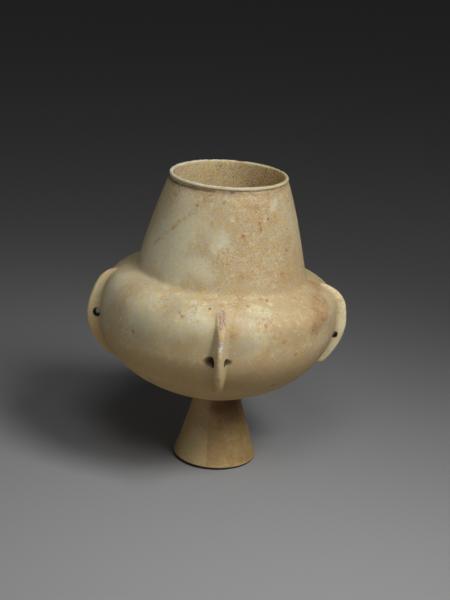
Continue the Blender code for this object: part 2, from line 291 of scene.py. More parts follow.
# %% The four lugs, as the carver left them
# The turn is in degrees from +X. A lug reaches above and below the bowl's widest ring by
# lengths along the bowl, and its hole's place is counted from that ring too. Its crest
# climbs from the top to stand proud of the bowl, gets low, and drops at the bottom. The
# crest's widths are given at shares of the way down. Mouths, slants and bites come in
# pairs, one for each of the two drills that met inside the lug.
PLAIN_LUG = {"bow": 0.0, "ends": 0.0055, "crest": ((0.0, 0.0044), (1.0, 0.0044)),
             "broken": 0.0, "slants": (14, 14), "bites": (0.0008, 0.0008)}
LUGS = {
    "right": PLAIN_LUG | {
        "turn": 0.0, "above": 0.0480, "below": 0.0415, "proud": 0.0102, "low": 0.0082,
        "climb": 0.0500, "climb_blunt": 1.50, "drop": 0.0070, "drop_blunt": 1.4,
        "hole": -0.0104, "mouths": (0.0066, 0.0052), "bites": (0.0010, 0.0010)},
    "back": PLAIN_LUG | {
        "turn": 91.0, "above": 0.0410, "below": 0.0400, "proud": 0.0102, "low": 0.0086,
        "climb": 0.0400, "climb_blunt": 1.25, "drop": 0.0160, "drop_blunt": 1.5,
        "hole": -0.0050, "mouths": (0.0072, 0.0066), "bow": 0.0008},
    "left": PLAIN_LUG | {
        "turn": 184.0, "above": 0.0414, "below": 0.0405, "proud": 0.0107, "low": 0.0074,
        "climb": 0.0350, "climb_blunt": 1.35, "drop": 0.0140, "drop_blunt": 1.7,
        "hole": 0.0060, "mouths": (0.0060, 0.0072)},
    "front": {
        "turn": 272.0, "above": 0.0430, "below": 0.0410, "proud": 0.0103, "low": 0.0098,
        "climb": 0.0400, "climb_blunt": 1.25, "drop": 0.0220, "drop_blunt": 1.15,
        "hole": -0.0015, "mouths": (0.0058, 0.0086), "bow": -0.0019, "ends": 0.0085,
        "crest": ((0.0, 0.0060), (0.14, 0.0074), (0.22, 0.0052), (0.30, 0.0038),
                  (0.45, 0.0040), (0.62, 0.0054), (0.85, 0.0050), (1.0, 0.0024)),
        "broken": 1.0, "slants": (9, 17), "bites": (0.0008, -0.0008)},
}
print("Lugs at", [lug["turn"] for lug in LUGS.values()], "degrees")

# %% Bunch the columns at the lugs
BUNCH_WIDTH = 4.6
BUNCH_DENSITY = 5.2
RING_STEPS = 7200
ring = np.linspace(0, 360, RING_STEPS + 1)
density = np.ones_like(ring)
for lug in LUGS.values():
    apart = (ring - lug["turn"] + 180) % 360 - 180
    density += BUNCH_DENSITY * np.exp(-(apart / BUNCH_WIDTH) ** 4)
share_round = np.concatenate([[0], np.cumsum((density[1:] + density[:-1]) / 2)])
share_round /= share_round[-1]
for vert in stone.verts:
    across = vert.co.xy.length
    if across > TINY:
        share = math.atan2(vert.co.y, vert.co.x) / (2 * math.pi) % 1
        turned = math.radians(np.interp(share, share_round, ring))
        vert.co.xy = (across * math.cos(turned), across * math.sin(turned))
narrow = 2 * math.pi * BOWL_RADIUS / COLUMNS * density.mean() / density.max()
print("Columns are", round(narrow * 1000, 2), "mm apart at a lug")

# %% [markdown]
# ## Raise the lugs
#
# Each lug is an upright crescent with a narrow crest, nearly straight sides and a small
# hollow curve where it grows out of the bowl. The stone there is one skin, so the lug
# is raised from that skin instead of being stuck on: every vertex near a lug moves
# straight out from the bowl, by a height that depends on where it is along the lug and
# how far to the side of it.

# %% The height of a lug
ROOT_WIDTH = 0.0125
FLANK_FOOT = 0.0010
END_SUNK = 0.0008
CREST_SHARE = 0.85
CREST_ROUND = 2.4
FILLET = 0.0024
BREAK_START = 0.27
BREAK_END = 0.15
BREAK_LOWER = 0.45


def held(share):
    """A share held between 0 and 1."""
    return min(max(share, 0), 1)


def eased(share):
    """A share held between 0 and 1, with a smooth start and end."""
    share = held(share)
    return share * share * (3 - 2 * share)


def slope_share(share, blunt):
    """How far a slope has risen, from 0 to 1: straight, or rounded where blunt is 2."""
    left = 1 - held(share)
    return (1 - left ** blunt) ** (1 / blunt)


def crest_height(lug, station):
    """How far a lug's crest stands off the bowl at a station along it."""
    from_top = lug["above"] - station
    from_bottom = station + lug["below"]
    thinning = lug["above"] + lug["below"] - lug["climb"] - lug["drop"]
    low = held((from_top - lug["climb"]) / max(thinning, TINY))
    stand = lug["proud"] + (lug["low"] - lug["proud"]) * low
    climb = slope_share(from_top / lug["climb"], lug["climb_blunt"])
    drop = slope_share(from_bottom / lug["drop"], lug["drop_blunt"])
    return (stand + END_SUNK) * climb * drop - END_SUNK


def lug_height(lug, station, sideways):
    """Height of the stone off the bowl at a place on a lug or beside it."""
    length = lug["above"] + lug["below"]
    share = held((lug["above"] - station) / length)
    beside = abs(sideways - lug["bow"] * (2 * share - 1) ** 2)
    root = (lug["ends"] + (ROOT_WIDTH - lug["ends"]) * math.sin(math.pi * share)) / 2
    broken = lug["broken"] * eased((BREAK_START - share) / (BREAK_START - BREAK_END))
    crest = np.interp(share, *zip(*lug["crest"])) / 2
    corner = crest + (root - crest) * (1 - CREST_SHARE)
    if beside < corner:
        part = 1 - (1 - CREST_SHARE) * (beside / corner) ** CREST_ROUND
    else:
        part = CREST_SHARE - CREST_SHARE * (beside - corner) / (root - corner)
    stand = crest_height(lug, station) * (1 - BREAK_LOWER * broken)
    height = (stand + FLANK_FOOT) * part - FLANK_FOOT
    meeting = max(FILLET - abs(height), 0)
    return max(height, 0) + meeting ** 2 / (4 * FILLET)


print("Front lug stands", round(lug_height(LUGS["front"], 0, 0) * 1000, 1), "mm proud")

# %% Move the skin out
OUTSIDE_GAP = 0.0025
SIDE_LIMIT = 0.0115
STATION_STEP = 0.0004


def outward_between(low, high):
    """The direction straight out of the bowl, square to the line between two places."""
    return Vector((high[1] - low[1], 0, low[0] - high[0])).normalized()


lifted = 0
for vert in stone.verts:
    height = vert.co.z
    if not FOOT_HEIGHT < height < COLLAR_BASE:
        continue
    if vert.co.xy.length < np.interp(height, bowl_heights, bowl_radii) - OUTSIDE_GAP:
        continue
    station = float(np.interp(height, bowl_heights, bowl_lengths))
    outward = outward_between(bowl_place(station - STATION_STEP),
                              bowl_place(station + STATION_STEP))
    for lug in LUGS.values():
        turn = Matrix.Rotation(math.radians(lug["turn"]), 3, "Z")
        local = turn.inverted() @ vert.co
        if local.x > 0 and abs(local.y) < SIDE_LIMIT:
            move = lug_height(lug, station, local.y)
            vert.co += turn @ outward * move
            lifted += move > 0
            break
print("Raised", lifted, "vertices")

# %% [markdown]
# ## Drill the lugs
#
# The maker drilled each lug from both sides with a blunt drill until the two hollows
# met, and the drill scooped a little out of the bowl beside it. A Boolean does the
# same: a bullet-shaped cutter is spun, aimed at the lug from each side, and taken away
# from the stone.

# %% Make the drills
HOLE_THROAT = 0.0034
HOLE_NOSE = 0.0048
HOLE_OVERLAP = 0.0009
DRILL_LENGTH = 0.0200
DRILL_STEP = 0.0005
DRILL_SIDES = 28
DRILL_ROWS = 9


def drill_radius(along, mouth):
    """Radius of a blunt drill at a distance from its nose."""
    widening = math.sin(math.pi / 2 * held(along / HOLE_NOSE))
    return (HOLE_THROAT + (mouth - HOLE_THROAT) * widening) / 2


def drill_aim(lug, side):
    """One drill of a lug: where its nose goes, its shaft's direction and its width."""
    below, middle, above = [Vector(bowl_place(lug["hole"] + gap))
                            for gap in (-DRILL_STEP, 0, DRILL_STEP)]
    outward = outward_between(below, above)
    nose = Vector((middle.x, 0, middle.y)) + outward * lug["bites"][side < 0]
    slant = math.radians(lug["slants"][side < 0])
    aim = Vector((0, side, 0)) * math.cos(slant) + outward * math.sin(slant)
    turn = Matrix.Rotation(math.radians(lug["turn"]), 3, "Z")
    return turn @ nose, turn @ aim, lug["mouths"][side < 0]


def add_drill(cutter, nose, aim, mouth):
    """Spin one blunt drill into the cutter's mesh."""
    outline = [(0, -HOLE_OVERLAP), (HOLE_THROAT / 2, -HOLE_OVERLAP)]
    for along in np.linspace(0, HOLE_NOSE, DRILL_ROWS):
        outline.append((drill_radius(along, mouth), along))
    outline += [(mouth / 2, DRILL_LENGTH), (0, DRILL_LENGTH)]
    old = set(cutter.verts)
    string = [cutter.verts.new((across, 0, along)) for across, along in outline]
    edges = [cutter.edges.new(pair) for pair in zip(string, string[1:])]
    bmesh.ops.spin(cutter, geom=string + edges, cent=(0, 0, 0), axis=(0, 0, 1),
                   angle=2 * math.pi, steps=DRILL_SIDES, use_merge=True)
    made = [vert for vert in cutter.verts if vert not in old]
    stand = aim.to_track_quat("Z", "Y").to_matrix().to_4x4()
    quarter = Matrix.Rotation(math.pi / 2 / DRILL_SIDES, 4, "Z")
    bmesh.ops.transform(cutter, matrix=Matrix.Translation(nose) @ stand @ quarter, verts=made)


def to_object(name, mesh):
    """A new object in the scene from a finished bmesh."""
    data = bpy.data.meshes.new(name)
    mesh.to_mesh(data)
    mesh.free()
    thing = bpy.data.objects.new(name, data)
    bpy.context.scene.collection.objects.link(thing)
    return thing


drills = []
cutters = []
for side in (1, -1):
    cutter = bmesh.new()
    for lug in LUGS.values():
        drills.append(drill_aim(lug, side))
        add_drill(cutter, *drills[-1])
    bmesh.ops.remove_doubles(cutter, verts=cutter.verts[:], dist=TINY)
    bmesh.ops.recalc_face_normals(cutter, faces=cutter.faces[:])
    bmesh.ops.triangulate(cutter, faces=cutter.faces[:])
    cutters.append(to_object("drills", cutter))
print("Made", len(drills), "drills")

# %% Drill
CUT_MERGE = 1e-5
bmesh.ops.triangulate(stone, faces=stone.faces[:])
blank = to_object("blank", stone)
for cutter in cutters:
    cut = blank.modifiers.new("drill", "BOOLEAN")
    cut.operation = "DIFFERENCE"
    cut.solver = "EXACT"
    cut.object = cutter
shown = blank.evaluated_get(bpy.context.evaluated_depsgraph_get())
stone = bmesh.new()
stone.from_mesh(shown.to_mesh())
for thing in [blank, *cutters]:
    bpy.data.objects.remove(thing)
bmesh.ops.remove_doubles(stone, verts=stone.verts[:], dist=CUT_MERGE)
print(len(stone.faces), "faces, volume", round(stone.calc_volume() * 1e6), "ml")

# %% Wear the rims of the holes
RIM_REACH = 0.0115
RIM_ANGLE = 0.35
for nose, _, _ in drills:
    rim = [vert for vert in stone.verts if (vert.co - nose).length < RIM_REACH
           and any(edge.calc_face_angle(0) > RIM_ANGLE for edge in vert.link_edges)]
    bmesh.ops.smooth_vert(stone, verts=rim, factor=0.4,
                          use_axis_x=True, use_axis_y=True, use_axis_z=True)
print("Rims smoothed")

# %% [markdown]
# ## Mark the hollow, the lugs and the holes
#
# The wear and the marble both have to know which stone lies inside, on a lug or in a
# drilled hole. That is easy to tell from the formulas now, and hard once the vase leans.
# So each vertex gets three shares from 0 to 1, in layers that the mesh keeps as
# attributes, because a material can read those.

# %% Mark them
INSIDE_DEPTH = 0.0010
INSIDE_FADE = 0.0012
HOLLOW_FLOOR = FOOT_HEIGHT + 0.01
LUG_START = 0.0010
LUG_FADE = 0.0060
SOIL_SHADE_EDGE = 0.0006
SOIL_SHADE_DEPTH = 0.0080
SOIL_SHADE_LOSS = 0.7


def skin_radius(height):
    """Outer radius of the bowl or the collar, as if it had no lugs."""
    if height > COLLAR_BASE:
        return collar_radius(height)
    return np.interp(height, bowl_heights, bowl_radii)


hollow, pierced, raised = [stone.verts.layers.float.new(name)
                           for name in ("hollow", "pierced", "raised")]
for vert in stone.verts:
    height = vert.co.z
    if height > FOOT_HEIGHT:
        proud = vert.co.xy.length - skin_radius(height)
        vert[raised] = held((proud - LUG_START) / LUG_FADE)
        if height > HOLLOW_FLOOR:
            vert[hollow] = held((-proud - INSIDE_DEPTH) / INSIDE_FADE)
    for nose, aim, mouth in drills:
        along = (vert.co - nose).dot(aim)
        if -HOLE_OVERLAP < along < DRILL_LENGTH / 2:
            beside = (vert.co - nose - aim * along).length - drill_radius(along, mouth)
            # Soil and painted shade in the holes: darkest at the drill's wall deep in the lug,
            # fainter towards the mouths.
            soil_and_shade = eased(1 - beside / SOIL_SHADE_EDGE) * (1 - SOIL_SHADE_LOSS * eased(along / SOIL_SHADE_DEPTH))
            vert[pierced] = max(vert[pierced], soil_and_shade)
print("Marked", sum(vert[pierced] > 0 for vert in stone.verts), "vertices in the holes")

# %% [markdown]
# ## Let it lean
#
# No hand-ground vase is quite true. This one's bowl sits a few millimetres to the left
# of its foot, its collar's base slopes the other way from its shoulder, and the foot's
# base spreads a little to the front left. Each height is shifted and sloped a little,
# with an eased change in between, so that nothing kinks.

# %% Lean
LEVELS = (0.0, FOOT_HEIGHT, RING_HEIGHT, COLLAR_BASE, TOP)
LEAN_SHIFTS = (0.0, -0.00025, -0.00359, -0.00138, 0.0004)
LEAN_SLOPES = (0.0, 0.0199, 0.0289, -0.0575, -0.0139)
FOOT_SPREAD = 0.0015
SPREAD_HEIGHT = 0.016
BACK_RIGHT = Vector((0.6, 0.8))


def glide(height, values):
    """The value at a height, eased between the values given at LEVELS."""
    result = values[0]
    for low, high, start, end in zip(LEVELS, LEVELS[1:], values, values[1:]):
        result += (end - start) * eased((height - low) / (high - low))
    return result


def lean(point):
    """A point of the true form, moved to its place on the leaning vase."""
    rise = glide(point.z, LEAN_SLOPES) * point.x
    front_left = 0.5 - 0.5 * point.xy.normalized().dot(BACK_RIGHT)
    spread = FOOT_SPREAD * eased(1 - point.z / SPREAD_HEIGHT) * front_left
    across = point.xy * (1 + spread / FOOT_RADIUS)
    return Vector((across.x + glide(point.z, LEAN_SHIFTS), across.y, point.z + rise))


print("At half height the axis is", round(glide(TOP / 2, LEAN_SHIFTS) * 1000, 1), "mm off")

# %% Move every vertex
for vert in stone.verts:
    vert.co = lean(vert.co)
bmesh.ops.recalc_face_normals(stone, faces=stone.faces[:])
print("Leaned, with", len(stone.verts), "vertices")

# %% [markdown]
# ## Wear and chips
#
# The stone was ground by hand and has lain in the ground, so its skin rolls slightly,
# its lip and its crests are chipped and a few pits are deep enough to show. Wear only
# takes stone away, so every vertex moves inwards. Where a pit is smaller than the
# facets, the edges round it are subdivided first.

# %% Cut the skin finer at the pits
# Each pit has its middle, its reach and its depth.
PITS = {
    "left pit": ((-0.0691, -0.0733, 0.1348), 0.0016, 0.0007),
    "beside it": ((-0.0742, -0.0685, 0.1336), 0.0012, 0.0004),
    "low right pit": ((0.0443, -0.0691, 0.0941), 0.0022, 0.0009),
    "shoulder pit": ((-0.0329, -0.0875, 0.1568), 0.0014, 0.0005),
    "shoulder pit's pair": ((-0.0296, -0.0896, 0.1553), 0.0016, 0.0006),
    "upper right pit": ((0.0345, -0.0657, 0.1638), 0.0012, 0.0005),
    "mid right pit": ((0.0350, -0.0872, 0.1514), 0.0013, 0.0005),
    "far right pit": ((0.0735, -0.0622, 0.1394), 0.0014, 0.0005),
    "right scar": ((0.0600, -0.0750, 0.1235), 0.0024, 0.0004),
    "back pit": ((-0.0420, 0.0850, 0.1330), 0.0018, 0.0006),
    "back low pit": ((0.0300, 0.0800, 0.0990), 0.0020, 0.0007),
}
CUT_REACH = 0.0042
centres = [Vector(centre) for centre, _, _ in PITS.values()]
edges = [edge for edge in stone.edges
         if any((edge.verts[0].co - centre).length < CUT_REACH for centre in centres)]
bmesh.ops.subdivide_edges(stone, edges=edges, cuts=2, use_grid_fill=True)
bmesh.ops.triangulate(stone, faces=[face for face in stone.faces if len(face.verts) > 3])
print("Subdivided", len(edges), "edges")

# %% Where the stone is broken and dented
# Each place has its middle, its reach, its depth and its noise's scale.
ROUGH = {
    "crest's top": ((0.0010, -0.0965, 0.1565), 0.0085, 0.0010, 620),
    "crest's middle": ((0.0002, -0.1068, 0.1385), 0.0048, 0.0008, 700),
    "crest's nick": ((-0.0012, -0.1055, 0.1100), 0.0026, 0.0009, 500),
    "crest below": ((0.0000, -0.1080, 0.1230), 0.0100, 0.0003, 650),
    "right crest": ((0.1030, 0.0000, 0.1400), 0.0250, 0.0003, 500),
    "left crest": ((-0.1110, 0.0000, 0.1300), 0.0300, 0.0003, 450),
    "back crest": ((-0.0050, 0.1090, 0.1300), 0.0250, 0.0004, 500),
    "foot's front edge": ((0.0130, -0.0330, 0.0010), 0.0060, 0.0004, 600),
}
ROUGH_GAIN = 1.6
ROUGH_SEED = 7


def deep(point, scale, seed):
    """Smooth noise from 0 to 1 at a point, with features about 1/scale metres wide."""
    return 0.5 + 0.5 * noise.noise(point * scale + Vector((seed, seed, seed)))


def dished(point, centre, reach):
    """1 in the middle of a round place and 0 at its reach and past it."""
    gap = (point - Vector(centre)).length / reach
    return max(1 - gap * gap, 0)


print("Broken or dented in", len(ROUGH), "places")

# %% Wear the skin
# Each kind of wear has its depth, its noise's scale and its noise's seed. A pit's rags
# have a share of the pit's reach in place of a depth.
SKIN_ROLL = (0.00016, 42, 1)
SKIN_RIPPLE = (0.00007, 140, 2)
DRILL_MARKS = (0.00045, 330, 3)
LUG_DENTS = (0.00020, 160, 4)
LIP_CHIPS = (0.00090, 190, 5)
LIP_GRAIN = (0.00035, 420, 6)
PIT_RAGS = (0.6, 900, 8)
SMALLEST_PIT = 0.7
CHIPPED = 0.62
LIP_START = LIP_MIDDLE - 0.004
UNDERSIDE = 0.0002


def noisy(point, kind):
    """A depth times its noise at a point."""
    depth, scale, seed = kind
    return depth * deep(point, scale, seed)


def wear(vert):
    """How far the stone has worn in at a vertex, in metres."""
    point = vert.co
    if point.z < UNDERSIDE:
        return 0
    worn = noisy(point, SKIN_ROLL) + noisy(point, SKIN_RIPPLE)
    worn += vert[hollow] * noisy(point, DRILL_MARKS) + vert[raised] * noisy(point, LUG_DENTS)
    if point.z > LIP_START:
        depth, scale, seed = LIP_CHIPS
        worn += depth * held((deep(point, scale, seed) - CHIPPED) / (1 - CHIPPED))
        worn += noisy(point, LIP_GRAIN)
    for centre, reach, depth, scale in ROUGH.values():
        if dished(point, centre, reach):
            broken = depth * deep(point, scale, ROUGH_SEED) * ROUGH_GAIN
            worn += dished(point, centre, reach) * broken
    for centre, reach, depth in PITS.values():
        if dished(point, centre, 2 * reach):
            ragged = reach * (SMALLEST_PIT + noisy(point, PIT_RAGS))
            worn += depth * dished(point, centre, ragged)
    return worn


stone.normal_update()
moves = [wear(vert) for vert in stone.verts]
for vert, worn in zip(stone.verts, moves):
    vert.co -= vert.normal * worn
print("Deepest wear", round(max(moves) * 1000, 2), "mm")

# %% Finish the piece
vase = to_object("marble_vase", stone)
vase.data.shade_smooth()
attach(vase, "root")
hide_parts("vase")
vase.data.calc_loop_triangles()
print("Finished piece has", len(vase.data.loop_triangles), "triangles")

# %% [markdown]
# ## Sums that build a material
#
# A procedural material is a sum over the surface: so much warm stone here, so much rust
# there. Blender keeps such a sum as Math nodes, which are slow to add one at a time. The
# small class below lets a sum be written as one, and its node method adds any other
# kind of node.

# %% A wire that can be used in sums
class Wire:
    """One socket of a material. Sums on it add Math nodes to the same material."""

    def __init__(self, tree, socket=None):
        self.tree = tree
        self.socket = socket

    def node(self, kind, settings=None, inputs=None, output=0):
        """Add any node: its settings first, then values or wires for its sockets."""
        made = self.tree.nodes.new(kind)
        for name, value in (settings or {}).items():
            setattr(made, name, value)
        for name, value in (inputs or {}).items():
            if isinstance(value, Wire):
                self.tree.links.new(value.socket, made.inputs[name])
            else:
                made.inputs[name].default_value = value
        return Wire(self.tree, made.outputs[output])

    def math(self, operation, *values):
        """A Math node on two or three values, any of which can be a wire."""
        return self.node("ShaderNodeMath", {"operation": operation}, dict(enumerate(values)))

    def __add__(self, other):
        return self.math("ADD", self, other)

    def __sub__(self, other):
        return self.math("SUBTRACT", self, other)

    def __rsub__(self, other):
        return self.math("SUBTRACT", other, self)

    def __mul__(self, other):
        return self.math("MULTIPLY", self, other)

    __radd__ = __add__
    __rmul__ = __mul__

    def step(self, low, high):
        """0 below low, 1 above high and a smooth change between them."""
        return self.node("ShaderNodeMapRange", {"interpolation_type": "SMOOTHSTEP"},
                         {0: self, 1: low, 2: high, 3: 0.0, 4: 1.0})

    def capped(self):
        """The same value, but never above 1."""
        return self.math("MINIMUM", self, 1.0)

    def beside(self, output):
        """Another output of the node that this wire comes from."""
        return Wire(self.tree, self.socket.node.outputs[output])


def new_material(name):
    """A material, and the Principled shader that is in it."""
    material = bpy.data.materials.new(name)
    material.use_nodes = True
    return material, material.node_tree.nodes["Principled BSDF"]


def paint(red, green, blue):
    """A colour from the 0 to 255 values that a picture editor shows."""
    linear = [((value / 255 + 0.055) / 1.055) ** 2.4 for value in (red, green, blue)]
    return (*linear, 1.0)


def over(under, colour, share):
    """Lay a colour over another one, as strongly as the share says."""
    return share.node("ShaderNodeMix", {"data_type": "RGBA"}, {0: share, 6: under, 7: colour}, 2)


print("An editor's 128 is", round(paint(128, 128, 128)[0], 3), "to a shader")

# %% [markdown]
# ## The marble: its place and its noises
#
# The colour follows the stone and not the camera, so every pattern reads Object
# coordinates. They are bent a little by a slow noise first, because stains and clouds
# in stone never have round or straight edges.

# %% Start the marble
marble, shader = new_material("marble")
start = Wire(marble.node_tree)
place = start.node("ShaderNodeTexCoord", output="Object")


def bend(scale, amount):
    """The place, pushed about by a slow noise so that what reads it has wavy edges."""
    swirl = start.node("ShaderNodeTexNoise", {},
                       {"Vector": place, "Scale": scale, "Detail": 3.0}, "Color")
    red = start.node("ShaderNodeSeparateColor", {}, {0: swirl})
    push = start.node("ShaderNodeCombineXYZ", {}, {
        0: red - 0.5, 1: red.beside("Green") - 0.5, 2: red.beside("Blue") - 0.5})
    return start.node("ShaderNodeVectorMath", {"operation": "MULTIPLY_ADD"},
                      {0: push, 1: (amount, amount, amount), 2: place})


def mark(name):
    """A share that was written on the vertices, read by the marble."""
    return start.node("ShaderNodeAttribute", {"attribute_name": name}, output="Fac")


bent = bend(70.0, 0.014)
frayed = bend(420.0, 0.0045)
side_way = start.node("ShaderNodeSeparateXYZ", {}, {0: place})
up_way = side_way.beside("Z")
inside = mark("hollow")
on_lug = mark("raised")
drilled = mark("pierced")
print("Marble reads", place.socket.name, "coordinates")


# %% Clouds and round areas
def cloud(scale, detail=3.0, rough=0.5, shift=0.0, where=place):
    """Noise from 0 to 1 over the stone."""
    moved = start.node("ShaderNodeMapping", {},
                       {"Vector": where, "Location": (shift, shift, shift)})
    return start.node("ShaderNodeTexNoise", {},
                      {"Vector": moved, "Scale": scale, "Detail": detail, "Roughness": rough})


def near(point, reach, edge=0.0, where=bent):
    """1 within edge metres of a point of the stone, falling to 0 at reach metres."""
    gap = start.node("ShaderNodeVectorMath", {"operation": "DISTANCE"},
                     {0: where, 1: point}, "Value")
    return gap.step(reach, edge)


def areas(places, where=bent):
    """The sum of round areas, each given by its middle and its reach."""
    total = 0.0
    for point, reach in places:
        total = near(point, reach, 0.0, where) + total
    return total


print("Clouds and areas are ready")

# %% [markdown]
# ## Body colour
#
# Clean marble is a pale greenish grey that light sinks into. Most of this stone has
# taken a warm buff skin, and the clean stone shows as soft clouds through it: on the
# left of the collar, in a patch at its front and across the front of the bowl. The left
# side is painted paler still, partly pale stone and partly painted light on that side,
# and the crests of the side lugs are rubbed to cream.

# %% Grey stone and buff skin
GREY_STONE = paint(224, 217, 182)
BUFF_SKIN = paint(200, 179, 138)
TAN_SKIN = paint(190, 154, 102)
grey_places = [
    ((-0.0480, -0.0420, 0.2050), 0.034), ((-0.0420, -0.0480, 0.1900), 0.034),
    ((-0.0300, -0.0480, 0.2150), 0.024), ((-0.0024, -0.0611, 0.2065), 0.014),
    ((-0.0200, -0.0600, 0.1850), 0.018), ((0.0379, -0.0365, 0.2344), 0.009),
    ((-0.0600, -0.0720, 0.1560), 0.032), ((-0.0238, -0.0900, 0.1540), 0.022),
    ((0.0250, -0.0955, 0.1400), 0.020), ((-0.0850, -0.0300, 0.1500), 0.032),
    ((0.0520, -0.0340, 0.2250), 0.008), ((0.0300, -0.0800, 0.1600), 0.012),
    ((-0.0330, -0.0744, 0.1655), 0.014), ((-0.0383, -0.0577, 0.1788), 0.016),
    ((0.0200, 0.0950, 0.1300), 0.040), ((-0.0300, 0.0500, 0.2000), 0.030),
    ((0.0900, 0.0350, 0.1400), 0.025), ((-0.0850, 0.0450, 0.1450), 0.030),
]
grey_share = (areas(grey_places) * 0.52 + cloud(26, 3, 0.55) * 0.9 - 0.34).step(0.0, 0.62)
tan_share = (cloud(34, 4, 0.6, 3.1) + side_way * 1.4).step(0.44, 0.76)
colour = over(BUFF_SKIN, TAN_SKIN, tan_share * 0.52)
colour = over(colour, GREY_STONE, grey_share * 0.85)
print("Placed", len(grey_places), "grey clouds")

# %% Pale left side with painted light, toned and rubbed stone
PALE_LEFT_AND_LIGHT = paint(246, 238, 208)
DULL_TONE_AND_SHADE = paint(160, 142, 104)
CLEAN_STONE = paint(212, 211, 188)
RUBBED_CREAM = paint(246, 225, 174)
RUBBED_WHITE = paint(255, 244, 200)
# The left side is painted paler: partly pale stone, partly painted light on that side.
pale_left_and_light = areas([((-0.0620, -0.0320, 0.1863), 0.032), ((-0.0334, -0.0402, 0.2357), 0.020),
                  ((-0.0890, -0.0320, 0.1599), 0.026)])
colour = over(colour, PALE_LEFT_AND_LIGHT, pale_left_and_light.capped() * 0.55)
toned = areas([((0.0180, -0.0430, 0.2120), 0.034), ((0.0350, -0.0330, 0.1980), 0.023)])
colour = over(colour, DULL_TONE_AND_SHADE, toned.capped() * 0.40)
clean = near((-0.0024, -0.0611, 0.2065), 0.013, 0.003)
colour = over(colour, CLEAN_STONE, clean * 0.60)
rubbed = on_lug * start.math("ABSOLUTE", side_way).step(0.05, 0.09)
right_lug = (rubbed * 1.6).capped() * side_way.step(0.05, 0.09)
colour = over(colour, RUBBED_CREAM, rubbed * 0.9)
colour = over(colour, RUBBED_WHITE, right_lug * (1.05 - cloud(150, 5, 0.70, 1.3)))
print("Side lugs rubbed")

# %% [markdown]
# ## Mottling and grain
#
# Close up, the skin is never one colour. Blotches a few millimetres wide run from ochre
# to cream, and the crystals under them show as grains about a millimetre wide. Each of
# the layers below is one noise cut off at a threshold, from broad to fine.

# %% Blotches and grains
OCHRE = paint(194, 143, 72)
CREAM = paint(238, 228, 190)
SHADE = paint(168, 134, 80)
mottled_places = [
    ((0.0300, -0.0500, 0.2150), 0.036), ((0.0061, -0.0640, 0.1939), 0.022),
    ((0.0350, -0.0560, 0.1850), 0.032), ((-0.0192, -0.0464, 0.2413), 0.014),
    ((-0.0435, -0.0287, 0.2362), 0.014), ((0.0000, -0.0780, 0.1640), 0.028),
    ((-0.0450, -0.0760, 0.1620), 0.018), ((0.0800, -0.0400, 0.1500), 0.034),
    ((0.0330, -0.0850, 0.1530), 0.024), ((0.1000, -0.0050, 0.1500), 0.022),
    ((-0.0720, -0.0700, 0.1330), 0.014), ((0.0500, -0.0400, 0.2000), 0.022),
    ((-0.0240, -0.0880, 0.1580), 0.014), ((0.0600, 0.0600, 0.1500), 0.040),
]
mottled = (areas(mottled_places) * 0.6 + cloud(17, 2, 0.5, 7.7) * 0.5).step(0.12, 0.88)
blotches = cloud(150, 5, 0.70, 1.3)
ochre_share = blotches.step(0.47, 0.66) * (mottled * 0.75 + 0.20)
colour = over(colour, OCHRE, ochre_share * 0.55)
colour = over(colour, CREAM, cloud(190, 4, 0.70, 5.9).step(0.50, 0.70) * 0.40)
under_lip = up_way.step(0.2120, 0.2420)
grain = mottled * 0.55 + under_lip * 0.45 + 0.35
colour = over(colour, CREAM, cloud(760, 3, 0.65, 2.4).step(0.52, 0.66) * grain * 0.48)
colour = over(colour, SHADE, cloud(640, 3, 0.70, 8.1).step(0.52, 0.66) * grain * 0.52)
print("Placed", len(mottled_places), "mottled areas")

# %% [markdown]
# ## Rust, specks and stains
#
# Iron in the soil has left orange freckles in the mottled areas, a slanting vein on the
# collar, and some fifty red-brown and orange marks that are easy to pick out. The marks
# are placed one by one, and a fine noise breaks each of them into crumbs.

# %% Freckles
FRECKLE = paint(182, 120, 50)
RED_BROWN = paint(168, 96, 20)
freckled = mottled * 0.80 + under_lip * 0.45 + 0.12
freckle_share = cloud(560, 3, 0.65, 4.2).step(0.575, 0.655) * freckled
colour = over(colour, FRECKLE, freckle_share * 0.54)
crumbs = cloud(820, 2, 0.6, 6.3).step(0.61, 0.67) * cloud(60, 2, 0.5, 1.1).step(0.42, 0.60)
colour = over(colour, RED_BROWN, crumbs * (freckled * 0.7 + 0.15) * 0.7)
print("Freckled")

# %% Where the marks are
red_marks = [
    ((-0.0232, -0.0478, 0.2333), 0.0023), ((0.0266, -0.0497, 0.2219), 0.0027),
    ((0.0276, -0.0504, 0.2181), 0.0028), ((0.0277, -0.0510, 0.2158), 0.0023),
    ((0.0328, -0.0447, 0.2249), 0.0022), ((0.0353, -0.0437, 0.2223), 0.0020),
    ((0.0487, -0.0201, 0.2340), 0.0027), ((0.0488, -0.0319, 0.2139), 0.0020),
    ((0.0489, -0.0385, 0.1984), 0.0027), ((0.0137, -0.0573, 0.2136), 0.0020),
    ((0.0353, -0.0647, 0.1639), 0.0025), ((0.0207, -0.0775, 0.1626), 0.0023),
    ((0.0350, -0.0876, 0.1507), 0.0023), ((-0.0304, -0.0894, 0.1552), 0.0027),
    ((0.0808, -0.0465, 0.1495), 0.0028), ((0.0809, -0.0505, 0.1449), 0.0027),
    ((0.0735, -0.0622, 0.1402), 0.0025), ((-0.0091, -0.0857, 0.1616), 0.0020),
    ((-0.0691, -0.0733, 0.1348), 0.0034), ((0.0600, -0.0750, 0.1235), 0.0031),
    ((0.0300, 0.0560, 0.2000), 0.0027), ((-0.0500, 0.0820, 0.1400), 0.0027),
    ((-0.0800, 0.0500, 0.1500), 0.0023), ((0.0443, -0.0691, 0.0941), 0.0044),
]
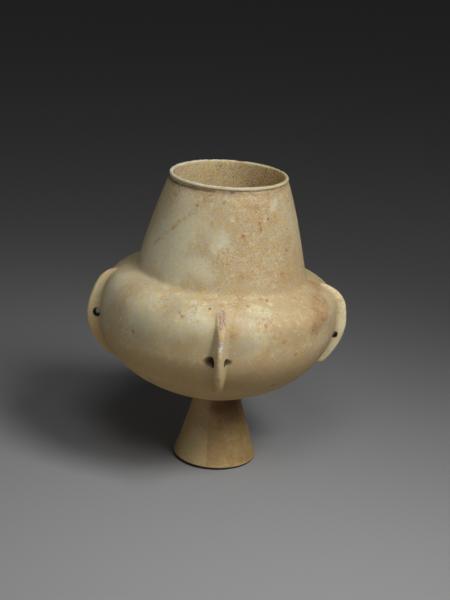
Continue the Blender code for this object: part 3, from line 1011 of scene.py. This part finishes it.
orange_marks = [
    ((-0.0017, -0.0514, 0.2379), 0.0034), ((-0.0110, -0.0558, 0.2216), 0.0030),
    ((0.0083, -0.0548, 0.2256), 0.0034), ((0.0235, -0.0469, 0.2348), 0.0036),
    ((0.0383, -0.0392, 0.2270), 0.0040), ((0.0517, -0.0298, 0.2085), 0.0034),
    ((0.0474, -0.0464, 0.1798), 0.0056), ((0.0131, -0.0657, 0.1817), 0.0056),
    ((0.0003, -0.0627, 0.2006), 0.0056), ((-0.0175, -0.0482, 0.2386), 0.0036),
    ((0.0146, -0.0577, 0.2113), 0.0046), ((0.0289, -0.0525, 0.2089), 0.0034),
    ((-0.0071, -0.0648, 0.1918), 0.0040), ((-0.0207, -0.0850, 0.1616), 0.0036),
    ((-0.0329, -0.0869, 0.1575), 0.0030), ((0.0598, -0.0478, 0.1615), 0.0050),
    ((0.0541, -0.0481, 0.1630), 0.0044), ((0.0140, -0.0700, 0.1657), 0.0060),
    ((0.0313, -0.0656, 0.1644), 0.0050), ((-0.0118, -0.0765, 0.1657), 0.0060),
    ((0.0101, -0.0943, 0.1518), 0.0036), ((0.0105, -0.0968, 0.1441), 0.0042),
    ((0.0176, -0.0888, 0.1568), 0.0028), ((-0.0410, -0.0316, 0.2371), 0.0040),
    ((0.0500, -0.0832, 0.1366), 0.0044), ((0.0950, -0.0060, 0.1530), 0.0060),
    ((0.0200, 0.0600, 0.1850), 0.0060), ((-0.0600, 0.0600, 0.1550), 0.0060),
]
pale_marks = [
    ((0.0052, -0.0552, 0.2255), 0.0034), ((0.0305, -0.0470, 0.2230), 0.0030),
    ((0.0311, -0.0453, 0.2266), 0.0030), ((0.0077, -0.0510, 0.2375), 0.0034),
    ((-0.0297, -0.0780, 0.1644), 0.0040), ((-0.0219, -0.0793, 0.1645), 0.0044),
    ((-0.0132, -0.0801, 0.1644), 0.0044), ((0.0220, -0.0800, 0.1613), 0.0040),
    ((0.0377, -0.0684, 0.1623), 0.0040), ((0.0023, -0.0770, 0.1650), 0.0040),
]
print("There are", len(red_marks), "red,", len(orange_marks), "orange and",
      len(pale_marks), "pale marks")

# %% Lay the marks and the stains
ORANGE = paint(184, 124, 44)
STAIN = paint(162, 114, 68)
pale_share = areas(pale_marks, frayed).step(0.10, 0.75) * cloud(420, 3, 0.7, 3.4).step(0.38, 0.58)
colour = over(colour, CREAM, pale_share * 0.60)
orange_share = areas(orange_marks, frayed).step(0.05, 0.75)
colour = over(colour, ORANGE, orange_share * cloud(560, 4, 0.7, 6.9).step(0.44, 0.58) * 0.66)
red_share = areas(red_marks, frayed).step(0.16, 0.56) * cloud(900, 3, 0.7, 9.1).step(0.40, 0.52)
colour = over(colour, RED_BROWN, red_share * 0.85)
stains = areas([((0.0770, -0.0097, 0.1601), 0.013), ((0.0795, -0.0303, 0.1567), 0.017),
                ((0.0799, -0.0468, 0.1504), 0.016), ((0.0760, -0.0587, 0.1408), 0.013)])
stain_share = stains.step(0.0, 0.7) * (cloud(190, 4, 0.75, 2.2).step(0.36, 0.66) * 0.7 + 0.3)
colour = over(colour, STAIN, stain_share * 0.70)
print("Marks and stains laid")

# %% The slanting vein
VEIN_TOP = Vector((-0.0235, -0.0482, 0.2318))
VEIN_END = Vector((-0.0563, -0.0328, 0.1969))
VEIN_ORANGE = paint(200, 148, 76)
across_vein = (VEIN_END - VEIN_TOP).cross(Vector((VEIN_TOP.x, VEIN_TOP.y, 0))).normalized()
beside = start.node("ShaderNodeVectorMath", {"operation": "DOT_PRODUCT"},
                    {0: frayed, 1: across_vein}, "Value")
beside = start.math("ABSOLUTE", beside + cloud(80, 2, 0.5, 0.4) * 0.004
                    - (across_vein.dot(VEIN_TOP) + 0.002))
along = near((VEIN_TOP + VEIN_END) / 2, 0.030, 0.021, place)
vein_share = beside.step(0.0030, 0.0002) * along * cloud(110, 3, 0.6, 5.5).step(0.30, 0.66)
colour = over(colour, VEIN_ORANGE, vein_share * 0.70)
print("Vein is", round((VEIN_END - VEIN_TOP).length * 1000), "mm long")

# %% [markdown]
# ## Brown low places, soil and painted shade
#
# Below the widest ring the skin turns browner, and the foot is browner still. Soil is
# left in the drilled holes and over the inside of the collar, which was never polished.
# Painted shade darkens the holes deep in, the hollow lower down, the band under the
# lip's bead and the front of the widest ring, and a painted shadow runs along the
# foot's bottom edge.

# %% Brown the bowl's underside, and paint shade at the widest ring
UNDER_BROWN = paint(188, 150, 86)
below = (up_way + cloud(40, 3, 0.5, 6.6) * 0.014 + side_way * 0.06).step(0.140, 0.106)
colour = over(colour, UNDER_BROWN, below * (1 - right_lug * 0.8) * 0.72)
# Painted shade on the front of the widest ring and just above it, kept off the lugs.
painted_ring_shade = areas([((-0.0250, -0.0985, 0.1360), 0.026), ((-0.0600, -0.0812, 0.1357), 0.026),
               ((-0.0340, -0.0800, 0.1620), 0.018), ((0.0170, -0.0985, 0.1350), 0.020)])
colour = over(colour, DULL_TONE_AND_SHADE, painted_ring_shade.capped() * (1 - on_lug) * 0.42)
print("Underside is brown")

# %% Colour the foot
FOOT_TAN = paint(170, 142, 94)
FOOT_RUST = paint(152, 119, 66)
FOOT_PALE = paint(200, 178, 128)
FOOT_DUSK = paint(126, 92, 54)
FOOT_BROWN = paint(112, 74, 32)
EDGE_CREAM = paint(222, 188, 120)
CHIP_CREAM = paint(236, 204, 132)
foot_blotches = cloud(130, 5, 0.70, 3.3)
foot_colour = over(FOOT_TAN, FOOT_RUST, (foot_blotches + side_way * 3.0).step(0.46, 0.66) * 0.75)
seam = (side_way + cloud(120, 3, 0.5, 1.7) * 0.002).step(-0.0050, -0.0062)
pale_foot = seam * near((-0.0200, -0.0300, 0.0120), 0.030, 0.012)
foot_colour = over(foot_colour, FOOT_PALE, pale_foot * 0.7)
dark_top = up_way.step(0.018, 0.054) * side_way.step(-0.014, 0.004)
foot_colour = over(foot_colour, FOOT_DUSK, dark_top * 0.55)
stained = near((0.0095, -0.0175, 0.0550), 0.026, 0.003) + foot_blotches * 0.30 - 0.15
foot_colour = over(foot_colour, FOOT_BROWN, stained.step(0.10, 0.95) * 0.95)
foot_colour = over(foot_colour, FOOT_BROWN, cloud(420, 4, 0.7, 9.4).step(0.54, 0.70) * 0.35)
pale_crumbs = cloud(520, 3, 0.7, 6.8).step(0.54, 0.70) * (1 - stained)
foot_colour = over(foot_colour, CREAM, pale_crumbs * 0.18)
on_foot = up_way.step(0.066, 0.058)
colour = over(colour, foot_colour, on_foot * 0.95)
worn_edge = up_way.step(0.0048, 0.0030) * cloud(210, 3, 0.6, 2.7).step(0.42, 0.60)
colour = over(colour, EDGE_CREAM, worn_edge * 0.32)
chips = near((0.0113, -0.0322, 0.0045), 0.0065) * cloud(560, 3, 0.7, 1.5).step(0.44, 0.56)
colour = over(colour, CHIP_CREAM, chips * 0.45)
print("Foot coloured")

# %% The inside of the collar
INSIDE_TAN = paint(255, 224, 162)
INSIDE_ORANGE = paint(226, 180, 124)
INSIDE_DIRT_AND_SHADE = paint(120, 78, 34)
INSIDE_WHITE = paint(255, 252, 230)
inside_blotches = cloud(120, 4, 0.65, 3.7).step(0.42, 0.66)
inside_colour = over(INSIDE_TAN, INSIDE_ORANGE, inside_blotches * 0.5)
inside_colour = over(inside_colour, CREAM, cloud(520, 3, 0.75, 7.1).step(0.52, 0.64) * 0.6)
# Brown crumbs of dirt over the inside: more in the dirty places, and more on the right wall as
# painted shade.
right_wall_shade = side_way.step(0.006, 0.050)
dirt_and_shade = areas([((-0.0077, 0.0453, 0.2440), 0.007), ((0.0185, 0.0453, 0.2310), 0.007),
               ((0.0050, 0.0475, 0.2350), 0.004), ((0.0328, 0.0325, 0.2444), 0.009),
               ((0.0408, 0.0208, 0.2400), 0.013)])
crumbs_inside = cloud(860, 3, 0.75, 5.1)
dirt_and_shade = (dirt_and_shade * 0.30 + right_wall_shade * 0.18 + 0.26) * crumbs_inside.step(0.51, 0.57)
inside_colour = over(inside_colour, INSIDE_DIRT_AND_SHADE, dirt_and_shade.step(0.0, 0.8))
inside_colour = over(inside_colour, INSIDE_WHITE, crumbs_inside.step(0.47, 0.40) * 0.9)
# Painted shade: the hollow is darker further down.
inside_colour = over(inside_colour, INSIDE_DIRT_AND_SHADE, up_way.step(0.218, 0.165) * 0.5)
colour = over(colour, inside_colour, inside * 0.95)
print("Inside coloured")

# %% Colour the lip, with painted shade under its bead and a painted highlight on top
LIP_CREAM = paint(214, 202, 168)
LIP_TOP_HIGHLIGHT = paint(250, 238, 208)
LIP_SHADE = paint(150, 122, 84)
GROOVE_SHADE = paint(84, 54, 32)


def outer_band(bottom, full, fading, top):
    """1 between two heights on the outside, with a soft edge below and above."""
    return up_way.step(bottom, full) * up_way.step(top, fading) * (1 - inside)


lip_share = up_way.step(0.2458, 0.2472) * (1 - inside)
colour = over(colour, LIP_CREAM, lip_share * (0.75 - cloud(240, 4, 0.7, 4.4).step(0.5, 0.7) * 0.5))
# A painted highlight along the top of the lip.
painted_lip_highlight = up_way.step(0.2486, 0.2497) * cloud(200, 3, 0.6, 5.2).step(0.30, 0.50)
colour = over(colour, LIP_TOP_HIGHLIGHT, painted_lip_highlight * 0.8)
# Painted shade under the lip's bead: a soft band, and a darker line that is stronger on the left.
shaded = 0.30 + cloud(260, 4, 0.7, 3.8).step(0.42, 0.62) * 0.45
colour = over(colour, LIP_SHADE, outer_band(0.2415, 0.2450, 0.2464, 0.2478) * shaded)
groove_shade = (cloud(170, 3, 0.6, 4.9) - side_way * 5).step(0.34, 0.66)
colour = over(colour, GROOVE_SHADE, outer_band(0.2443, 0.2453, 0.2460, 0.2467) * groove_shade * 0.8)
print("Lip coloured")

# %% Soil and painted shade in the holes, painted shadow under the foot
MOUTH_BROWN = paint(110, 68, 30)
SOIL_AND_HOLE_SHADE = paint(56, 30, 12)
PAINTED_CONTACT_SHADOW = paint(8, 5, 3)
mouths = areas([((-0.0085, -0.0945, 0.1222), 0.0056), ((0.0072, -0.0965, 0.1225), 0.0042),
                ((0.0960, -0.0040, 0.1165), 0.0050), ((-0.1040, -0.0100, 0.1300), 0.0050)], frayed)
colour = over(colour, MOUTH_BROWN, mouths.step(0.10, 0.80) * 0.7)
# Soil and painted shade in the drilled holes, darkest deep inside.
colour = over(colour, SOIL_AND_HOLE_SHADE, start.math("MINIMUM", drilled * 1.5, 0.97))
# A painted shadow along the foot's lowest edge, where it meets the floor.
painted_shadow_line = (up_way + side_way * 0.02).step(0.0026, 0.0017)
colour = over(colour, PAINTED_CONTACT_SHADOW, painted_shadow_line * 0.98)
print("Holes and foot's edge darkened")

# %% [markdown]
# ## The broken crest
#
# The front lug's top was knocked off long ago and its middle was bruised. Where marble
# breaks it is sugary: white crystals, here with pink and brown soil between them.

# %% Sugary breaks
SUGAR = paint(238, 228, 212)
BREAK_PINK = paint(180, 140, 110)
BREAK_BROWN = paint(104, 62, 42)
BRUISE_GREY = paint(168, 146, 130)
BRUISE_BROWN = paint(96, 62, 46)
breaks = areas([((0.0006, -0.0890, 0.1605), 0.0046), ((0.0012, -0.0925, 0.1590), 0.0060),
                ((0.0010, -0.0975, 0.1550), 0.0060), ((0.0002, -0.1005, 0.1520), 0.0040)],
               frayed).step(0.20, 0.70)
bruise = areas([((0.0002, -0.1068, 0.1398), 0.0050), ((0.0003, -0.1076, 0.1370), 0.0048)],
               frayed).step(0.20, 0.75)
crystals = cloud(900, 3, 0.7, 3.9)
broken_colour = over(BREAK_PINK, SUGAR, crystals.step(0.50, 0.62) * 0.8)
broken_soil = cloud(620, 3, 0.7, 7.5).step(0.52, 0.60)
broken_colour = over(broken_colour, BREAK_BROWN, broken_soil * 0.75)
colour = over(colour, broken_colour, breaks * 0.8)
bruise_colour = over(BRUISE_GREY, SUGAR, cloud(620, 3, 0.7, 1.9).step(0.44, 0.54))
bruise_soil = cloud(560, 3, 0.7, 8.3).step(0.56, 0.62)
bruise_colour = over(bruise_colour, BRUISE_BROWN, bruise_soil * 0.7)
colour = over(colour, bruise_colour, bruise * 0.8)
print("Breaks coloured")

# %% [markdown]
# ## Warm and cool
#
# The layers so far make the stone lighter and darker. Real marble also turns warmer and
# cooler from one millimetre to the next, while its brightness hardly changes. One noise
# with strong fine octaves does that: it takes blue out where it is high and gives it
# back where it is low, over every layer at once.

# %% Turn the colour
WARMTH = (0.30, -0.05, -1.30)


def warmed(under, swing, warmth):
    """Multiply a colour by 1 plus the warmth, as far as the swing says."""
    push = start.node("ShaderNodeVectorMath", {"operation": "SCALE"},
                      {0: warmth, "Scale": swing - 0.5})
    tint = start.node("ShaderNodeVectorMath", {"operation": "ADD"},
                      {0: push, 1: (1.0, 1.0, 1.0)})
    return start.node("ShaderNodeVectorMath", {"operation": "MULTIPLY"}, {0: under, 1: tint})


colour = warmed(colour, cloud(170, 4, 0.85, 4.7), WARMTH)
print("Warm and cool turned")

# %% [markdown]
# ## Roughness and the small bumps
#
# Hand-smoothed marble has a soft sheen where it was rubbed and is dull where it is
# weathered. Tiny pits sit all over, and the inside is as coarse as the drill left it.

# %% Sheen and bumps
tiny_pits = start.node("ShaderNodeTexVoronoi", {"feature": "F1"},
                       {"Vector": place, "Scale": 420.0}, "Distance").step(0.24, 0.08)
tiny_pits = tiny_pits * cloud(90, 2, 0.5, 2.9).step(0.46, 0.64)
colour = over(colour, FRECKLE, tiny_pits * 0.45)
rough_stone = start.math("MAXIMUM", inside, breaks)
roughness = cloud(60, 3, 0.5, 1.9) * 0.16 + 0.46 + rough_stone * 0.25 + ochre_share * 0.12
relief = crystals * 0.14 + cloud(300, 4, 0.65, 6.1) * 0.40 - tiny_pits * 0.5
relief = relief + cloud(430, 5, 0.75, 8.8) * rough_stone * 2.4
bump = start.node("ShaderNodeBump", {}, {"Strength": 0.40, "Distance": 0.0006,
                                         "Height": relief}, "Normal")
for socket, wire in (("Base Color", colour), ("Roughness", roughness), ("Normal", bump)):
    start.tree.links.new(wire.socket, shader.inputs[socket])
shader.inputs["Subsurface Weight"].default_value = 0.4
shader.inputs["Subsurface Radius"].default_value = (1.0, 0.75, 0.5)
shader.inputs["Subsurface Scale"].default_value = 0.005
shader.inputs["Specular IOR Level"].default_value = 0.42
vase.data.materials.append(marble)
print("Marble has", len(marble.node_tree.nodes), "nodes")

# %% [markdown]
# ## The studio
#
# The vase stands on one plain pale floor. A key light shapes it from the upper right and
# another from high in front, a weak fill keeps its left side from going black, and a
# narrow pool of light in front lets the floor fall away into the dark behind the vase.

# %% The floor
FLOOR_RADIUS = 9.0
FLOOR_GREY = paint(149, 149, 150)
floor_mesh = bmesh.new()
bmesh.ops.create_circle(floor_mesh, cap_ends=True, segments=64, radius=FLOOR_RADIUS)
floor = to_object("floor", floor_mesh)
paper, floor_shader = new_material("paper")
floor_shader.inputs["Base Color"].default_value = FLOOR_GREY
floor_shader.inputs["Roughness"].default_value = 0.9
floor_shader.inputs["Specular IOR Level"].default_value = 0.1
floor.data.materials.append(paper)
print("Floor is", round(floor.dimensions.x, 1), "m across")

# %% The lights
# Each light has its place, its spread in degrees, its power in watts and its target.
LAMP_SIZE = 0.40
WORLD_STRENGTH = 0.037
AIM_POINT = Vector((0, 0, 0.12))
FLOOR_POINT = Vector((0, -0.23, 0))
LIGHTS = {
    "key": ((0.640, -0.640, 0.840), 180, 2.24, AIM_POINT),
    "top": ((0.000, -0.660, 1.062), 180, 2.32, AIM_POINT),
    "fill": ((-0.785, -0.785, 0.290), 180, 0.78, AIM_POINT),
    "pool": ((0.600, -0.600, 1.100), 50, 1.00, FLOOR_POINT),
}
for name, (spot, spread, power, target) in LIGHTS.items():
    lamp = bpy.data.lights.new(name, "AREA")
    lamp.size = LAMP_SIZE
    lamp.spread = math.radians(spread)
    lamp.energy = power
    thing = bpy.data.objects.new(name, lamp)
    bpy.context.scene.collection.objects.link(thing)
    thing.location = spot
    thing.rotation_euler = (target - thing.location).to_track_quat("-Z", "Y").to_euler()
world = bpy.data.worlds.new("studio")
world.use_nodes = True
sky = world.node_tree.nodes["Background"].inputs
sky["Color"].default_value = (1, 1, 1, 1)
sky["Strength"].default_value = WORLD_STRENGTH
bpy.context.scene.world = world
bpy.context.scene.view_settings.view_transform = "Standard"
print("Lights:", ", ".join(LIGHTS))
